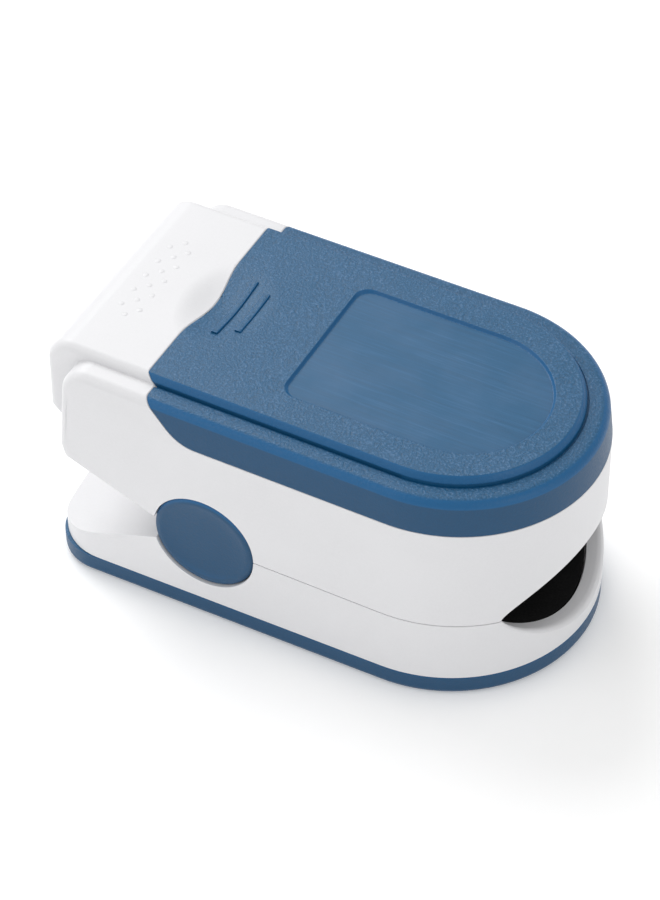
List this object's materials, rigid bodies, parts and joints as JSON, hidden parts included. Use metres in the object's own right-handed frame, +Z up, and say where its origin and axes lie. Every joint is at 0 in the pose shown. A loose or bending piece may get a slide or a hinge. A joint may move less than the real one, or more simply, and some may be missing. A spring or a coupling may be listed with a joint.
{
  "type": "fingertip pulse oximeter",
  "caption": "Clip-on fingertip pulse oximeter: spring-loaded hinged jaws round a padded finger channel, sliding battery cover, display face with power button.",
  "frame": {"origin": "centre of the plan box on the plane that the display face rests on", "axes": "+X towards the finger opening, +Y across to the left, +Z up from the display face to the battery cover"},
  "size_m": [0.06, 0.034, 0.0307],
  "materials": {
    "white_plastic": "satin moulded white plastic",
    "blue_plastic": "fine spark-eroded grain, satin moulded blue plastic",
    "black_rubber": "soft matte black silicone rubber",
    "smoked_window": "gloss smoked display window",
    "clear_window": "clear sensor lens",
    "circuit_board": "green solder-masked circuit board",
    "dark_component": "moulded black electronic component",
    "steel": "bright drawn steel",
    "cell_jacket": "satin foil jacket of a dry cell, with no print",
    "button_plastic": "silver-grey painted plastic",
    "flex_film": "amber polyimide film"
  },
  "bodies": {
    "display_half": {"face_plate": "blue_plastic", "display_window": "smoked_window", "display_module": "dark_component", "main_pcb": "circuit_board", "tact_switch": "dark_component", "emitter_led": "dark_component", "emitter_window": "clear_window", "flex_connector": "dark_component", "display_half_shell": "white_plastic", "lower_finger_pad": "black_rubber", "pcb_screw_1": "steel", "pcb_screw_2": "steel", "pcb_screw_3": "steel", "pcb_screw_4": "steel", "hinge_pin": "steel", "hinge_cap_left": "blue_plastic", "hinge_cap_right": "blue_plastic", "torsion_spring_left": "steel", "torsion_spring_right": "steel", "flex_cable": "flex_film"},
    "power_button": {"power_button": "button_plastic"},
    "battery_half": {"battery_half_shell": "white_plastic", "upper_bed_frame": "white_plastic", "upper_finger_pad": "black_rubber", "photodiode": "dark_component", "photodiode_window": "clear_window", "battery_cell_left": "cell_jacket", "battery_cell_right": "cell_jacket", "contact_positive": "steel", "contact_negative": "steel", "contact_bridge": "steel", "bed_screw_1": "steel", "bed_screw_2": "steel", "bed_screw_3": "steel", "bed_screw_4": "steel"},
    "battery_cover": {"battery_cover": "blue_plastic"}
  },
  "joints": [
    {"name": "jaw_hinge", "type": "hinge", "parent": "display_half", "child": "battery_half", "pos_m": [-0.0085, 0, 0.0114], "axis": [0, -1, 0], "range_deg": [0, 28], "stiffness_Nm_per_rad": 0.2, "springref_deg": -17.19, "deforming": ["torsion_spring_left", "torsion_spring_right", "flex_cable"]},
    {"name": "cover_slide", "type": "slide", "parent": "battery_half", "child": "battery_cover", "axis": [0.9998, 0, -0.0209], "range_m": [0, 0.048]},
    {"name": "button_press", "type": "slide", "parent": "display_half", "child": "power_button", "axis": [0, 0, 1], "range_m": [0, 0.0003], "stiffness_N_per_m": 1000, "springref_m": -0.0005}
  ]
}
